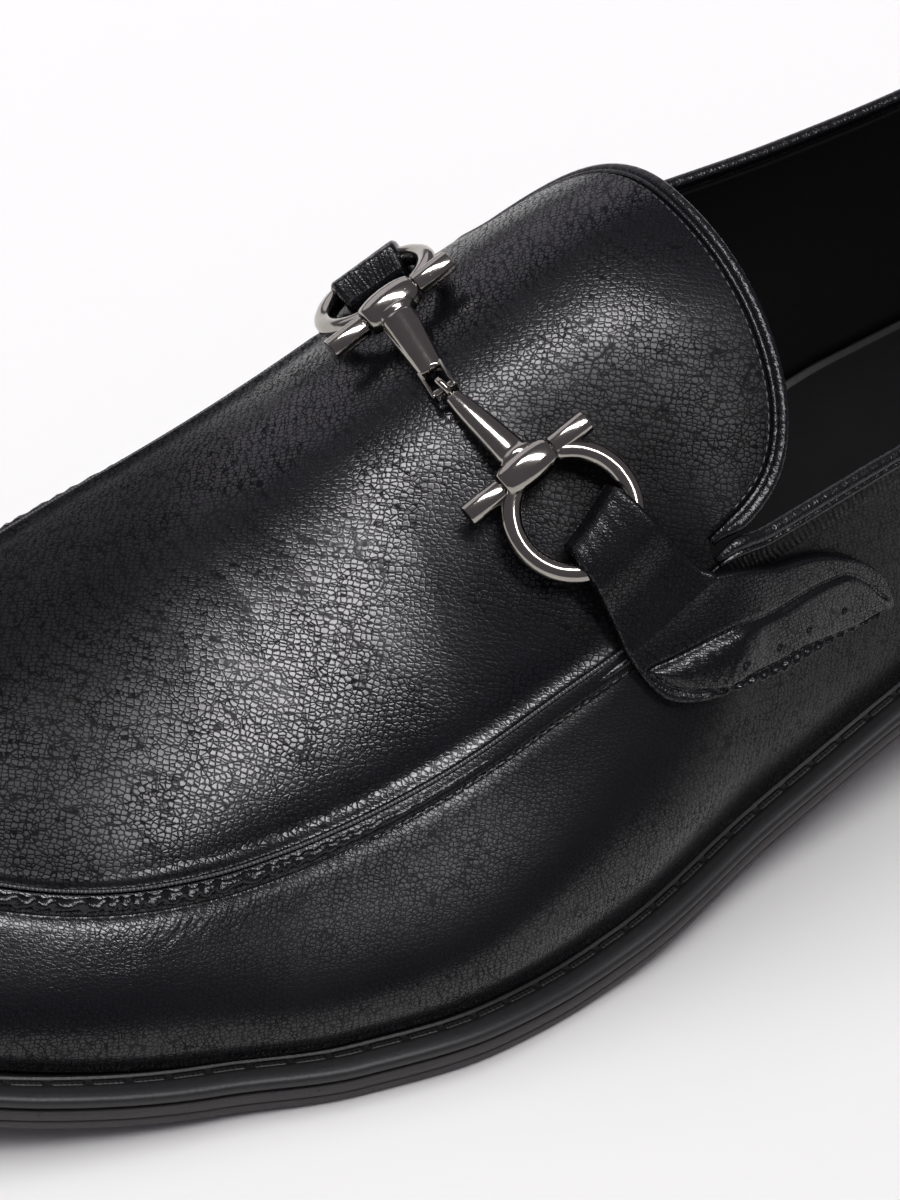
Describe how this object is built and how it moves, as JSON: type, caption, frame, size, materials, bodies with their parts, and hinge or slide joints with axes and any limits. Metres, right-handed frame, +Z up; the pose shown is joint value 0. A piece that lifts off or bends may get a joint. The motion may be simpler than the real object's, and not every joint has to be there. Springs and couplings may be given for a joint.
{
  "type": "loafer",
  "caption": "Black leather slip-on loafer with a raised seam round its plug, a welted rubber sole and a snaffle bit strapped across the instep.",
  "frame": {"origin": "on the floor under the middle of the outsole's box", "axes": "+X to the toe, +Y to the outer side of the left foot, +Z up"},
  "size_m": [0.3, 0.104, 0.0895],
  "materials": {
    "upper_leather": "full grain, pebbled, semi-gloss",
    "piping_leather": "smooth, glossy",
    "strap_leather": "fine grain, semi-gloss",
    "welt_rubber": "moulded, semi-gloss",
    "outsole_rubber": "matt, brushed edge",
    "heel_rubber": "matt",
    "sock_lining": "napped, matt",
    "bit_metal": "polished dark nickel"
  },
  "bodies": {
    "root": {"upper": "upper_leather", "outsole": "outsole_rubber", "welt": "welt_rubber", "heel": "heel_rubber", "insole": "sock_lining", "collar_piping": "piping_leather", "tongue_piping": "piping_leather", "strap_outer": "strap_leather", "strap_inner": "strap_leather", "bit_cheek_outer": "bit_metal", "bit_cheek_inner": "bit_metal", "bit_bar_outer": "bit_metal", "bit_bar_inner": "bit_metal"}
  },
  "joints": []
}
